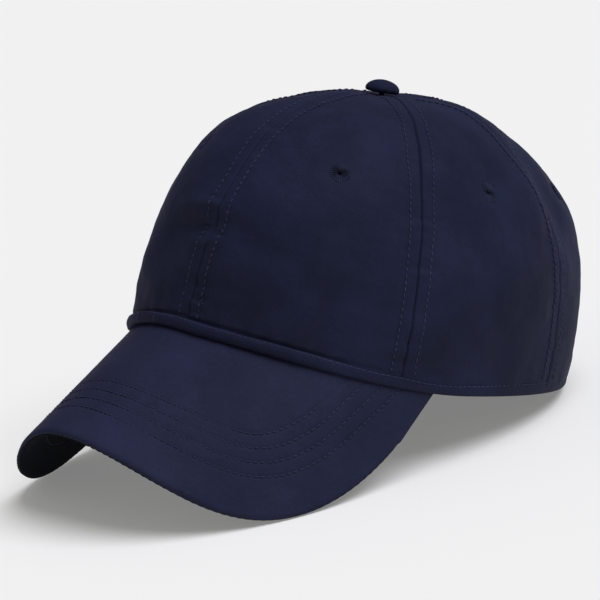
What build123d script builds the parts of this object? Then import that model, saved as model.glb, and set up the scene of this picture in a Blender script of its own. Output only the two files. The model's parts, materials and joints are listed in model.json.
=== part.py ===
"""Six-panel baseball cap with a curved visor and a clamp-buckle strap, standing on its visor and rear hem."""

import os
from math import cos, radians, sin, sqrt

from build123d import *

# Standing pose: the cap frame (hem level, apex axis) tips nose-up and its origin is lifted off the floor.
TILT = 15.4
STAND_Y = 12.29
STAND_Z = 28.05

# Crown, outer surface, in the cap frame: front is -Y, the wearer's left is +X.
HALF_WIDTH = 80.4
FRONT_LENGTH = 91.1
REAR_LENGTH = 118.0
OUTLINE_POWER = 2.16
CROWN_HEIGHT = 113.6
WALL_TOP = 16.8
RISE_POWER = 2.318
ROUND_POWER = 2.415
APEX_SHIFT = 2.5
FRONT_HOLLOW = 0.117
HEM_CURL = 0.011
HEM_ARCH = 10.0

# Seams and panels.
FRONT_SEAM = 63.0
REAR_SEAM = 127.4
PANEL_THICKNESS = 1.2
EYELET_HEIGHT = 82.6
FRONT_EYELET = 34.0
SIDE_EYELET = 94.0
REAR_EYELET = 153.7
EYELET_OUTER = 4.75
EYELET_BARREL = 2.0
EYELET_BORE = 1.5

# Linings, each given by the depth of its outer and inner face below the crown's outer surface.
STIFFENER = (1.5, 2.1)
TAPE = (2.4, 3.0)
FOREHEAD_PAD = (3.3, 4.4)
SWEATBAND = (4.7, 5.9)
SWEATBAND_HEIGHT = 34.0
TAPE_HALF_WIDTH = 7.0
BINDING_PROUD = 1.1
BINDING_HEIGHT = 4.6

# Rear opening: half an ellipse.
OPENING_HALF_WIDTH = 38.0
OPENING_HEIGHT = 45.0
OPENING_BINDING = 6.0

# Visor, measured along its surface from the hem.
VISOR_END = 76.0
VISOR_LENGTH = 71.0
VISOR_PITCH = 34.6
VISOR_SIDE_PITCH = 18.0
VISOR_COVER = 0.8
VISOR_BOARD = 1.3
VISOR_GAP = 0.2
VISOR_ROOT_INSET = 2.2
VISOR_ROOT_DROP = 0.6

# Strap: a circular band about its own upright axis, and the clamp buckle it runs through.
STRAP_RADIUS = 56.0
STRAP_CENTRE_Y = 57.0
STRAP_LOW = 5.5
STRAP_WIDTH = 20.0
STRAP_THICKNESS = 1.4
STRAP_ENDS = (-60.0, 64.0)
BUCKLE_AT = 15.0
KEEPER_AT = 51.0
PIN_RADIUS = 0.8
PIN_CLEARANCE = 0.05

# Button.
BUTTON_RADIUS = 7.0
BUTTON_HEIGHT = 5.4

CAP = Plane(
    origin=(0, STAND_Y, STAND_Z),
    x_dir=(1, 0, 0),
    z_dir=(0, sin(radians(TILT)), cos(radians(TILT))),
)
MIDDLE = Plane.YZ


def cap_plane(origin, x_dir, z_dir):
    """A plane given in the cap frame, placed in the standing pose."""
    spot = CAP.from_local_coords(Vector(*origin))
    across = CAP.from_local_coords(Vector(*origin) + Vector(*x_dir)) - spot
    up = CAP.from_local_coords(Vector(*origin) + Vector(*z_dir)) - spot
    return Plane(origin=spot, x_dir=across, z_dir=up)


def hem_height(y):
    """The hem arches up over the forehead and is level elsewhere."""
    return HEM_ARCH * (min(y, 0.0) / FRONT_LENGTH) ** 2


def crown_point(theta, z, inset=0.0):
    """Point on the crown at an azimuth from the front towards the left, at a height, below the surface."""
    t = radians(theta)
    length = (FRONT_LENGTH if cos(t) > 0 else REAR_LENGTH) - inset
    width = HALF_WIDTH - inset
    power = OUTLINE_POWER
    radius = (abs(sin(t) / width) ** power + abs(cos(t) / length) ** power) ** (-1 / power)
    height = CROWN_HEIGHT - inset
    rise = max(0.0, (z - WALL_TOP) / (height - WALL_TOP))
    grow = max(0.0, 1 - rise**RISE_POWER) ** (1 / ROUND_POWER)
    curl = HEM_CURL * max(0.0, (WALL_TOP - z) / WALL_TOP) ** 2
    part = max(0.0, z) / height
    hollow = FRONT_HOLLOW * max(0.0, cos(t)) * part * max(0.0, 1 - part)
    radius *= (grow - curl) * (1 - hollow)
    return (radius * sin(t), APEX_SHIFT * z / height - radius * cos(t), z)


def levels(inset):
    """Heights of the crown's cross-sections, evenly spread along its profile."""
    low = [-9.0, 4.0, WALL_TOP]
    shares = [0.975, 0.91, 0.8, 0.65, 0.45, 0.24, 0.07]
    span = CROWN_HEIGHT - inset - WALL_TOP
    high = [WALL_TOP + span * (1 - s**ROUND_POWER) ** (1 / RISE_POWER) for s in shares]
    return low + high


def dome(inset):
    """Solid of the crown's shape, its whole surface drawn in by the inset."""
    with BuildPart() as solid:
        for z in levels(inset):
            ring = [crown_point(theta, z, inset)[:2] for theta in range(0, 360, 30)]
            with BuildSketch(CAP.offset(z)):
                with BuildLine():
                    Spline(*ring, periodic=True)
                make_face()
        loft()
        split(bisect_by=MIDDLE, keep=Keep.TOP)
        mirror(about=MIDDLE)
    return solid.part


def above_hem(low, high=None):
    """Everything between two heights over the arched hem."""
    top = 150.0 if high is None else high
    steps = [-130.0 + 13.0 * i for i in range(11)]
    lower = [(y, hem_height(y) + low) for y in steps]
    upper = [(y, hem_height(y) + top) for y in reversed(steps)] if high else [(-130, top)]
    side = cap_plane((0, 0, 0), (0, 1, 0), (1, 0, 0))
    with BuildPart() as block:
        with BuildSketch(side):
            with BuildLine():
                Polyline(*lower, (150, low), (150, top), *upper, close=True)
            make_face()
        extrude(amount=110, both=True)
    return block.part


def opening(grow, reach=150.0):
    """Prism of the rear opening, its outline grown outwards, through the crown's back wall."""
    back = cap_plane((0, 30, 0), (-1, 0, 0), (0, 1, 0))
    wide = OPENING_HALF_WIDTH + grow
    high = OPENING_HEIGHT + grow
    with BuildPart() as prism:
        with BuildSketch(back):
            Ellipse(wide, high)
            with Locations((0, -30)):
                Rectangle(2 * wide, 60, mode=Mode.SUBTRACT)
            with Locations((0, -10)):
                Rectangle(2 * wide, 20)
        extrude(amount=reach)
    return prism.part


def layer(outside, inside, low, high=None, opened=0.0):
    """Sheet of the crown between two depths, over the hem and clear of the rear opening."""
    with BuildPart() as sheet:
        add(dome(outside))
        add(dome(inside), mode=Mode.SUBTRACT)
        add(above_hem(low, high), mode=Mode.INTERSECT)
        add(opening(opened), mode=Mode.SUBTRACT)
    return sheet.part


def seam_plane(theta):
    """Plane through the apex line at a seam's azimuth; its normal points to larger azimuths."""
    t = radians(theta)
    out = Vector(sin(t), -cos(t), 0)
    lean = Vector(0, APEX_SHIFT, CROWN_HEIGHT)
    normal = lean.cross(out)
    return cap_plane((0, 0, 0), (out.X, out.Y, out.Z), (normal.X, normal.Y, normal.Z))


def surface_plane(theta, z, depth=0.0):
    """Plane tangent to the crown with its normal outwards, sunk by a depth."""
    step = 0.5
    here = Vector(*crown_point(theta, z))
    along = Vector(*crown_point(theta + step, z)) - Vector(*crown_point(theta - step, z))
    rise = Vector(*crown_point(theta, z + step)) - Vector(*crown_point(theta, z - step))
    out = along.cross(rise).normalized()
    spot = here - out * depth
    return cap_plane((spot.X, spot.Y, spot.Z), (along.X, along.Y, along.Z), (out.X, out.Y, out.Z))


def wedge(sheet, start, end):
    """The part of a crown sheet between two seams, counted from the front towards the left."""
    with BuildPart() as piece:
        add(sheet)
        split(bisect_by=seam_plane(start), keep=Keep.TOP)
        split(bisect_by=seam_plane(end), keep=Keep.BOTTOM)
    return piece.part


def panel(start, end, middle):
    """One crown panel with its ventilation hole and its share of the button's hole."""
    with BuildPart() as piece:
        add(wedge(FABRIC, start, end))
        with BuildSketch(surface_plane(middle, EYELET_HEIGHT, 6)):
            Circle(EYELET_BARREL + 0.1)
        extrude(amount=12, mode=Mode.SUBTRACT)
        with BuildSketch(CAP.offset(CROWN_HEIGHT - 8)):
            with Locations((0, APEX_SHIFT)):
                Circle(1.8)
        extrude(amount=16, mode=Mode.SUBTRACT)
    return piece.part


def front_stiffener(start, end, middle):
    """Buckram behind a front panel, cut away round the eyelet and short of the apex."""
    with BuildPart() as piece:
        add(wedge(BUCKRAM, start, end))
        with BuildSketch(surface_plane(middle, EYELET_HEIGHT, 6)):
            Circle(EYELET_OUTER + 1.2)
        extrude(amount=12, mode=Mode.SUBTRACT)
        with BuildSketch(CAP.offset(CROWN_HEIGHT - 20)):
            with Locations((0, APEX_SHIFT)):
                Circle(22)
        extrude(amount=30, mode=Mode.SUBTRACT)
    return piece.part


def side_tape(theta):
    """Seam tape from the hem up to the button's backing, on one side seam."""
    seam = seam_plane(theta)
    with BuildPart() as piece:
        add(TAPES)
        split(bisect_by=seam.offset(-TAPE_HALF_WIDTH), keep=Keep.TOP)
        split(bisect_by=seam.offset(TAPE_HALF_WIDTH), keep=Keep.BOTTOM)
        outward = cap_plane((0, APEX_SHIFT, 0), (0, 0, 1), (sin(radians(theta)), -cos(radians(theta)), 0))
        split(bisect_by=outward, keep=Keep.TOP)
        with BuildSketch(CAP.offset(CROWN_HEIGHT - 30)):
            with Locations((0, APEX_SHIFT)):
                Circle(18)
        extrude(amount=40, mode=Mode.SUBTRACT)
        with BuildSketch(CAP):
            Rectangle(2 * TAPE_HALF_WIDTH + 0.4, 260)
        extrude(amount=130, mode=Mode.SUBTRACT)
    return piece.part


def eyelet(theta):
    """Embroidered ring: a barrel through the panel with a flange on each face."""
    seat = surface_plane(theta, EYELET_HEIGHT)
    flange_low = -PANEL_THICKNESS - 0.5
    with BuildPart() as ring:
        with BuildSketch(seat.offset(0.2)):
            Circle(EYELET_OUTER)
            Circle(EYELET_BORE, mode=Mode.SUBTRACT)
        extrude(amount=0.7)
        fillet(ring.edges().filter_by(GeomType.CIRCLE).sort_by(Axis(seat.origin, seat.z_dir))[-2:], 0.3)
        with BuildSketch(seat.offset(flange_low)):
            Circle(EYELET_BARREL)
            Circle(EYELET_BORE, mode=Mode.SUBTRACT)
        extrude(amount=-flange_low + 0.3)
        with BuildSketch(seat.offset(flange_low - 0.5)):
            Circle(EYELET_OUTER - 0.8)
            Circle(EYELET_BORE, mode=Mode.SUBTRACT)
        extrude(amount=0.5)
    return ring.part


def visor_length(q):
    """Length of the visor from the hem to its edge at a share of its half width."""
    return VISOR_LENGTH * (1 + 0.72 * q * q) * sqrt(max(0.0, 1 - abs(q) ** 3.4))


def visor_point(q, reach):
    """Point of the visor's middle surface at a distance from its root, in the cap frame."""
    theta = VISOR_END * q
    flat = crown_point(theta, 0)
    x, y, z = crown_point(theta, hem_height(flat[1]), VISOR_ROOT_INSET)
    pitch = radians(VISOR_PITCH + VISOR_SIDE_PITCH * q * q)
    fan = -0.33 * q * (1 - 1.25 * q * q)
    drop = sin(pitch) * reach
    ahead = cos(pitch) * reach
    return Vector(x + ahead * sin(fan), y - ahead * cos(fan), z - VISOR_ROOT_DROP - drop)


def visor_sheet(depth, thickness, margin):
    """One layer of the visor, its mid-plane offset from the middle surface, its outline drawn in."""
    rows = []
    side = 0.985
    for i in range(21):
        q = side * sin(radians(-90 + 9 * i))
        far = max(visor_length(q) - margin, 3.0)
        row = []
        for j in range(5):
            reach = margin * 0.5 + (far - margin * 0.5) * j / 4
            here = visor_point(q, reach)
            along = visor_point(q + 0.005, reach) - visor_point(q - 0.005, reach)
            out = visor_point(q, reach + 0.5) - visor_point(q, reach - 0.5)
            normal = out.cross(along).normalized()
            row.append(CAP.from_local_coords(here + normal * depth))
        rows.append(row)
    face = Face.make_surface_from_array_of_points(rows, tol=0.1, min_deg=3, max_deg=3)
    with BuildPart() as sheet:
        thicken(face, amount=thickness / 2, both=True)
        add(CROWN_ENVELOPE, mode=Mode.SUBTRACT)
    return sheet.part


def arc_plane(angle, radius, height=0.0):
    """Plane on the strap's circle: x along the strap towards the left, y up, z outwards."""
    a = radians(angle)
    spot = (radius * sin(a), STRAP_CENTRE_Y + radius * cos(a), height)
    return cap_plane(spot, (cos(a), -sin(a), 0), (sin(a), cos(a), 0))


def arc_spot(angle, radius):
    """Point on a circle about the strap's axis, in the cap frame, at an angle from the back."""
    a = radians(angle)
    return (radius * sin(a), STRAP_CENTRE_Y + radius * cos(a))


def band(start, end, radius, thickness, low, height):
    """Upright band on a circle about the strap's axis, between two angles from the back."""
    angles = (start, (start + end) / 2, end)
    with BuildPart() as strip:
        with BuildSketch(CAP.offset(low)):
            with BuildLine():
                outer = ThreePointArc(*[arc_spot(a, radius + thickness / 2) for a in angles])
                inner = ThreePointArc(*[arc_spot(a, radius - thickness / 2) for a in angles])
                Line(outer @ 0, inner @ 0)
                Line(outer @ 1, inner @ 1)
            make_face()
        extrude(amount=height)
    return strip.part


def loop_round_strap(angle):
    """Flat rectangular loop that the strap passes through."""
    seat = arc_plane(angle, STRAP_RADIUS, STRAP_LOW + STRAP_WIDTH / 2)
    with BuildPart() as ring:
        with BuildSketch(Plane(origin=seat.origin - seat.x_dir * 3, x_dir=seat.y_dir, z_dir=seat.x_dir)):
            RectangleRounded(24.4, 4.0, 0.8)
            Rectangle(21.2, 2.3, mode=Mode.SUBTRACT)
        extrude(amount=6)
    return ring.part


def button_half(points, arcs):
    """Closed half profile of a button piece: straight runs, with an arc wherever a mid-point is given."""
    for i, point in enumerate(points):
        following = points[(i + 1) % len(points)]
        if arcs.get(i):
            ThreePointArc(point, arcs[i], following)
        else:
            Line(point, following)


FABRIC = layer(0, PANEL_THICKNESS, 1.1, opened=2.0)
BUCKRAM = layer(*STIFFENER, 1.2)
TAPES = layer(*TAPE, 1.2, opened=6.3)
OUTER_SKIN = dome(-0.3)
CROWN_ENVELOPE = dome(-BINDING_PROUD - 0.05) & above_hem(-0.05)
BUTTON_SIDE = cap_plane((0, APEX_SHIFT, CROWN_HEIGHT), (1, 0, 0), (0, -1, 0))
BUTTON_AXIS = Axis(BUTTON_SIDE.origin, BUTTON_SIDE.y_dir)
BUCKLE = arc_plane(BUCKLE_AT, STRAP_RADIUS, STRAP_LOW + STRAP_WIDTH / 2)
PIN_X = 5.6
PIN_Z = 2.6

os.makedirs("parts", exist_ok=True)

# Crown panels.
with BuildPart() as front_left_panel:
    add(panel(0, FRONT_SEAM, FRONT_EYELET))
front_left_panel.part.label = "front_left_panel"
export_step(front_left_panel.part, "parts/front_left_panel.step")

with BuildPart() as front_right_panel:
    mirror(front_left_panel.part, about=MIDDLE)
front_right_panel.part.label = "front_right_panel"
export_step(front_right_panel.part, "parts/front_right_panel.step")

with BuildPart() as side_left_panel:
    add(panel(FRONT_SEAM, REAR_SEAM, SIDE_EYELET))
side_left_panel.part.label = "side_left_panel"
export_step(side_left_panel.part, "parts/side_left_panel.step")

with BuildPart() as side_right_panel:
    mirror(side_left_panel.part, about=MIDDLE)
side_right_panel.part.label = "side_right_panel"
export_step(side_right_panel.part, "parts/side_right_panel.step")

with BuildPart() as rear_left_panel:
    add(panel(REAR_SEAM, 180, REAR_EYELET))
rear_left_panel.part.label = "rear_left_panel"
export_step(rear_left_panel.part, "parts/rear_left_panel.step")

with BuildPart() as rear_right_panel:
    mirror(rear_left_panel.part, about=MIDDLE)
rear_right_panel.part.label = "rear_right_panel"
export_step(rear_right_panel.part, "parts/rear_right_panel.step")

# Linings behind the panels.
with BuildPart() as front_left_stiffener:
    add(front_stiffener(0.6, FRONT_SEAM - 0.4, FRONT_EYELET))
front_left_stiffener.part.label = "front_left_stiffener"
export_step(front_left_stiffener.part, "parts/front_left_stiffener.step")

with BuildPart() as front_right_stiffener:
    mirror(front_left_stiffener.part, about=MIDDLE)
front_right_stiffener.part.label = "front_right_stiffener"
export_step(front_right_stiffener.part, "parts/front_right_stiffener.step")

with BuildPart() as centre_seam_tape:
    add(TAPES)
    split(bisect_by=MIDDLE.offset(TAPE_HALF_WIDTH), keep=Keep.BOTTOM)
    split(bisect_by=MIDDLE.offset(-TAPE_HALF_WIDTH), keep=Keep.TOP)
    with BuildSketch(CAP.offset(CROWN_HEIGHT - 8)):
        with Locations((0, APEX_SHIFT)):
            Circle(1.8)
    extrude(amount=16, mode=Mode.SUBTRACT)
centre_seam_tape.part.label = "centre_seam_tape"
export_step(centre_seam_tape.part, "parts/centre_seam_tape.step")

with BuildPart() as front_left_seam_tape:
    add(side_tape(FRONT_SEAM))
front_left_seam_tape.part.label = "front_left_seam_tape"
export_step(front_left_seam_tape.part, "parts/front_left_seam_tape.step")

with BuildPart() as front_right_seam_tape:
    mirror(front_left_seam_tape.part, about=MIDDLE)
front_right_seam_tape.part.label = "front_right_seam_tape"
export_step(front_right_seam_tape.part, "parts/front_right_seam_tape.step")

with BuildPart() as rear_left_seam_tape:
    add(side_tape(REAR_SEAM))
rear_left_seam_tape.part.label = "rear_left_seam_tape"
export_step(rear_left_seam_tape.part, "parts/rear_left_seam_tape.step")

with BuildPart() as rear_right_seam_tape:
    mirror(rear_left_seam_tape.part, about=MIDDLE)
rear_right_seam_tape.part.label = "rear_right_seam_tape"
export_step(rear_right_seam_tape.part, "parts/rear_right_seam_tape.step")

with BuildPart() as forehead_pad:
    add(layer(*FOREHEAD_PAD, 2.0, SWEATBAND_HEIGHT - 4))
    split(bisect_by=cap_plane((0, -28, 0), (1, 0, 0), (0, -1, 0)), keep=Keep.TOP)
forehead_pad.part.label = "forehead_pad"
export_step(forehead_pad.part, "parts/forehead_pad.step")

with BuildPart() as sweatband:
    add(layer(*SWEATBAND, 0.6, SWEATBAND_HEIGHT, opened=16.0))
sweatband.part.label = "sweatband"
export_step(sweatband.part, "parts/sweatband.step")

with BuildPart() as care_label:
    add(wedge(layer(SWEATBAND[1] + 0.1, SWEATBAND[1] + 0.5, 8.0, 30.0), 106, 116))
care_label.part.label = "care_label"
export_step(care_label.part, "parts/care_label.step")

# Bindings.
with BuildPart() as hem_binding:
    add(dome(-BINDING_PROUD))
    add(dome(TAPE[1]), mode=Mode.SUBTRACT)
    add(above_hem(0, BINDING_HEIGHT), mode=Mode.INTERSECT)
    add(OUTER_SKIN & above_hem(1.05), mode=Mode.SUBTRACT)
    add(opening(OPENING_BINDING + 0.1), mode=Mode.SUBTRACT)
hem_binding.part.label = "hem_binding"
export_step(hem_binding.part, "parts/hem_binding.step")

with BuildPart() as rear_arch_binding:
    add(dome(-BINDING_PROUD))
    add(dome(PANEL_THICKNESS + 1.0), mode=Mode.SUBTRACT)
    add(above_hem(0), mode=Mode.INTERSECT)
    add(opening(OPENING_BINDING), mode=Mode.INTERSECT)
    add(opening(0), mode=Mode.SUBTRACT)
    add(OUTER_SKIN - dome(PANEL_THICKNESS + 0.3) - opening(1.9) & above_hem(1.05), mode=Mode.SUBTRACT)
    add(band(24.0, 44.0, 58.9, 2.4, STRAP_LOW + 1.5, STRAP_WIDTH - 3.0), mode=Mode.SUBTRACT)
rear_arch_binding.part.label = "rear_arch_binding"
export_step(rear_arch_binding.part, "parts/rear_arch_binding.step")

# Eyelets.
with BuildPart() as front_left_eyelet:
    add(eyelet(FRONT_EYELET))
front_left_eyelet.part.label = "front_left_eyelet"
export_step(front_left_eyelet.part, "parts/front_left_eyelet.step")

with BuildPart() as front_right_eyelet:
    mirror(front_left_eyelet.part, about=MIDDLE)
front_right_eyelet.part.label = "front_right_eyelet"
export_step(front_right_eyelet.part, "parts/front_right_eyelet.step")

with BuildPart() as side_left_eyelet:
    add(eyelet(SIDE_EYELET))
side_left_eyelet.part.label = "side_left_eyelet"
export_step(side_left_eyelet.part, "parts/side_left_eyelet.step")

with BuildPart() as side_right_eyelet:
    mirror(side_left_eyelet.part, about=MIDDLE)
side_right_eyelet.part.label = "side_right_eyelet"
export_step(side_right_eyelet.part, "parts/side_right_eyelet.step")

with BuildPart() as rear_left_eyelet:
    add(eyelet(REAR_EYELET))
rear_left_eyelet.part.label = "rear_left_eyelet"
export_step(rear_left_eyelet.part, "parts/rear_left_eyelet.step")

with BuildPart() as rear_right_eyelet:
    mirror(rear_left_eyelet.part, about=MIDDLE)
rear_right_eyelet.part.label = "rear_right_eyelet"
export_step(rear_right_eyelet.part, "parts/rear_right_eyelet.step")

# Button on top.
with BuildPart() as button_cover:
    with BuildSketch(BUTTON_SIDE):
        with BuildLine():
            outside = [(0, BUTTON_HEIGHT), (1, BUTTON_HEIGHT), (BUTTON_RADIUS, 2.2), (6.2, 0.2), (5.0, 0.2)]
            inside = [(5.0, 0.7), (6.0, 0.9), (6.45, 2.2), (1, 4.9), (0, 4.9)]
            button_half(outside + inside, {1: (4.9, 4.6), 2: (6.85, 1.0), 7: (4.5, 4.15)})
        make_face()
    revolve(axis=BUTTON_AXIS)
button_cover.part.label = "button_cover"
export_step(button_cover.part, "parts/button_cover.step")

with BuildPart() as button_shell:
    with BuildSketch(BUTTON_SIDE):
        with BuildLine():
            rim = [(0, 4.7), (1, 4.7), (6.3, 2.2), (5.85, 1.1), (5.4, 1.1), (5.8, 2.2), (1, 4.3), (0, 4.3)]
            button_half(rim, {1: (4.4, 4.0), 5: (4.0, 3.65)})
        make_face()
    revolve(axis=BUTTON_AXIS)
button_shell.part.label = "button_shell"
export_step(button_shell.part, "parts/button_shell.step")

with BuildPart() as button_rivet:
    with BuildSketch(BUTTON_SIDE):
        with BuildLine():
            head = [(0, 3.6), (2.8, 3.6), (2.8, 3.1), (1.2, 3.1)]
            foot = [(1.2, -4.3), (2.4, -4.3), (2.4, -4.9), (0, -4.9)]
            Polyline(*head, *foot, close=True)
        make_face()
    revolve(axis=BUTTON_AXIS)
button_rivet.part.label = "button_rivet"
export_step(button_rivet.part, "parts/button_rivet.step")

with BuildPart() as button_backing:
    with BuildSketch(CAP.offset(CROWN_HEIGHT - 4.2)):
        with Locations((0, APEX_SHIFT)):
            Circle(6.0)
            Circle(1.25, mode=Mode.SUBTRACT)
    extrude(amount=0.8)
button_backing.part.label = "button_backing"
export_step(button_backing.part, "parts/button_backing.step")

# Visor.
with BuildPart() as visor_board:
    add(visor_sheet(0.0, VISOR_BOARD, 2.0))
visor_board.part.label = "visor_board"
export_step(visor_board.part, "parts/visor_board.step")

with BuildPart() as visor_top_cover:
    add(visor_sheet(VISOR_BOARD / 2 + VISOR_GAP + VISOR_COVER / 2, VISOR_COVER, 0.0))
visor_top_cover.part.label = "visor_top_cover"
export_step(visor_top_cover.part, "parts/visor_top_cover.step")

with BuildPart() as visor_under_cover:
    add(visor_sheet(-VISOR_BOARD / 2 - VISOR_GAP - VISOR_COVER / 2, VISOR_COVER, 0.0))
visor_under_cover.part.label = "visor_under_cover"
export_step(visor_under_cover.part, "parts/visor_under_cover.step")

# Strap and clamp buckle.
with BuildPart() as strap:
    add(band(*STRAP_ENDS, STRAP_RADIUS, STRAP_THICKNESS, STRAP_LOW, STRAP_WIDTH))
strap.part.label = "strap"
export_step(strap.part, "parts/strap.step")

with BuildPart() as strap_anchor:
    add(loop_round_strap(-KEEPER_AT))
strap_anchor.part.label = "strap_anchor"
export_step(strap_anchor.part, "parts/strap_anchor.step")

with BuildPart() as strap_keeper:
    add(loop_round_strap(KEEPER_AT))
strap_keeper.part.label = "strap_keeper"
export_step(strap_keeper.part, "parts/strap_keeper.step")

with BuildPart() as buckle_frame:
    with BuildSketch(BUCKLE.offset(-2.7)):
        with Locations((0.25, 0)):
            RectangleRounded(14.5, 25.2, 1.0)
    extrude(amount=1.0)
    with BuildSketch(BUCKLE.offset(-1.7)):
        with Locations((2.25, 11.75), (2.25, -11.75)):
            Rectangle(18.5, 1.7)
    extrude(amount=6.0)
    with BuildSketch(BUCKLE.offset(0.9)):
        with Locations((10.5, 0)):
            Rectangle(1.4, 24)
    extrude(amount=1.2)
    with BuildSketch(Plane(origin=BUCKLE.origin, x_dir=BUCKLE.x_dir, z_dir=-BUCKLE.y_dir)):
        with Locations((PIN_X, PIN_Z)):
            Circle(PIN_RADIUS + PIN_CLEARANCE)
    extrude(amount=20, both=True, mode=Mode.SUBTRACT)
buckle_frame.part.label = "buckle_frame"
export_step(buckle_frame.part, "parts/buckle_frame.step")

with BuildPart() as buckle_pin:
    with BuildSketch(Plane(origin=BUCKLE.origin, x_dir=BUCKLE.x_dir, z_dir=-BUCKLE.y_dir)):
        with Locations((PIN_X, PIN_Z)):
            Circle(PIN_RADIUS)
    extrude(amount=12.6, both=True)
buckle_pin.part.label = "buckle_pin"
export_step(buckle_pin.part, "parts/buckle_pin.step")

with BuildPart() as buckle_lever:
    with BuildSketch(Plane(origin=BUCKLE.origin, x_dir=BUCKLE.x_dir, z_dir=-BUCKLE.y_dir)):
        with Locations((PIN_X, PIN_Z)):
            Circle(1.7)
        with Locations((PIN_X - 6.6, PIN_Z + 1.2)):
            Rectangle(13.2, 1.0)
        with Locations((PIN_X - 2.2, PIN_Z + 0.1)):
            Rectangle(1.2, 2.2)
        with Locations((PIN_X, PIN_Z)):
            Circle(PIN_RADIUS + PIN_CLEARANCE, mode=Mode.SUBTRACT)
    extrude(amount=10.4, both=True)
buckle_lever.part.label = "buckle_lever"
export_step(buckle_lever.part, "parts/buckle_lever.step")

with BuildPart() as buckle_loop:
    add(band(23.5, 42.0, 58.9, 1.8, STRAP_LOW + 2.0, STRAP_WIDTH - 4.0))
    with BuildSketch(BUCKLE.offset(0.8)):
        with Locations((10.5, 0)):
            Rectangle(1.6, 26)
    extrude(amount=1.4, mode=Mode.SUBTRACT)
buckle_loop.part.label = "buckle_loop"
export_step(buckle_loop.part, "parts/buckle_loop.step")
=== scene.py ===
"""Navy six-panel baseball cap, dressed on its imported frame."""

import json

import bmesh
import bpy
import numpy as np
from mathutils import Matrix, Vector

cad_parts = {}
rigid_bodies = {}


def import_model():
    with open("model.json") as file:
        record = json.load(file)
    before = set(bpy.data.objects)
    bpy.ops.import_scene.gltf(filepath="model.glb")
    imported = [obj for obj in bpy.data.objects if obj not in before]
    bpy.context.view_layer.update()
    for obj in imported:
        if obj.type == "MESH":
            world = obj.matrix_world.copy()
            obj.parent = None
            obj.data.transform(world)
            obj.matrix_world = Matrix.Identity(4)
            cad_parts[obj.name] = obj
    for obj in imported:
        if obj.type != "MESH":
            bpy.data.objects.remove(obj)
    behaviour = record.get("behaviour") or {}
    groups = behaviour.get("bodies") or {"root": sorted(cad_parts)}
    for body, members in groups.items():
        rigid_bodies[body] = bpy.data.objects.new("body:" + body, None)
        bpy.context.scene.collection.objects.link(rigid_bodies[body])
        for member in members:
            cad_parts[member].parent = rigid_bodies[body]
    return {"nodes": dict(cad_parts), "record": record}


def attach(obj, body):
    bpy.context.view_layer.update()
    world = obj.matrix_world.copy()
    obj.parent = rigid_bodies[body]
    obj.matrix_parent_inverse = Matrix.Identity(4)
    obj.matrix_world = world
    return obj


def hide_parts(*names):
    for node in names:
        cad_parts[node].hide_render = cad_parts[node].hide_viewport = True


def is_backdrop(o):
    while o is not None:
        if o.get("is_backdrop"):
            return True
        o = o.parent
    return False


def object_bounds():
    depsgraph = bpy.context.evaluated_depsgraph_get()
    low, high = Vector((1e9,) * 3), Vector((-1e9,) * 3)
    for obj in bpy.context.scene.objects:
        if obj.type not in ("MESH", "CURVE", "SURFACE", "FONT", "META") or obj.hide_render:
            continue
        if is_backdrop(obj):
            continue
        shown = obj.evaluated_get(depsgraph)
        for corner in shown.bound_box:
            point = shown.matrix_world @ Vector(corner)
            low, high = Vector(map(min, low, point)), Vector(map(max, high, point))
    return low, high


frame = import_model()
cad_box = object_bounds()
NODES = frame["nodes"]

# ---------------------------------------------------------------- the cap's own frame, in millimetres
MM = 0.001
JOINTS = {j["name"]: j for j in frame["record"]["behaviour"]["joints"]}
STRAP_AXIS_Y = 57.0
STRAP_MIDDLE = 15.5
UP = -np.array(JOINTS["strap_slide"]["axis"], float)
UP /= np.linalg.norm(UP)
RIGHT = np.array([1.0, 0.0, 0.0])
BACK = np.cross(UP, RIGHT)
ORIGIN = np.array(JOINTS["strap_slide"]["pos_m"]) / MM - BACK * STRAP_AXIS_Y - UP * STRAP_MIDDLE

# driving sizes, equal to the CAD model's except where a comment says otherwise
HALF_WIDTH, FRONT, REAR = 80.4, 91.1, 118.0
OUTLINE_POWER, RISE_POWER, ROUND_POWER = 2.16, 2.318, 2.415
HEIGHT, WALL_TOP, APEX_SHIFT = 113.6, 16.8, 2.5
FRONT_HOLLOW, HEM_CURL, HEM_ARCH = 0.117, 0.011, 10.0
FRONT_SEAM, REAR_SEAM = 63.0, 127.4
EYELET_HEIGHT = 82.6
OPEN_WIDE, OPEN_HIGH = 38.0, 45.0
# the dressed visor is a little longer and steeper than the CAD one, and twisted
VISOR_END, VISOR_LENGTH, VISOR_PITCH, SIDE_PITCH = 76.0, 73.0, 36.2, 16.4
VISOR_TWIST = 2.2
SEAMS = (0.0, FRONT_SEAM, REAR_SEAM, 180.0, -REAR_SEAM, -FRONT_SEAM)
EYELETS = [s * a for s in (1, -1) for a in (34.0, 94.0, 153.7)]
SEAM_STITCH = 5.3  # topstitching's distance from its seam
CLOTH_THICK = 0.55
MEAN_RADIUS = 86.0
DENT_GAIN = 1.35
STRAP_RADIUS = 56.0


def to_world(points):
    """Points of the cap frame, in millimetres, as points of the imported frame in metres."""
    p = np.asarray(points, float)
    out = ORIGIN + p[..., :1] * RIGHT + p[..., 1:2] * BACK + p[..., 2:3] * UP
    return out * MM


def unit(v):
    return v / np.maximum(np.linalg.norm(v, axis=-1, keepdims=True), 1e-9)


def smooth(x, low, high):
    t = np.clip((x - low) / (high - low), 0, 1)
    return t * t * (3 - 2 * t)


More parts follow.
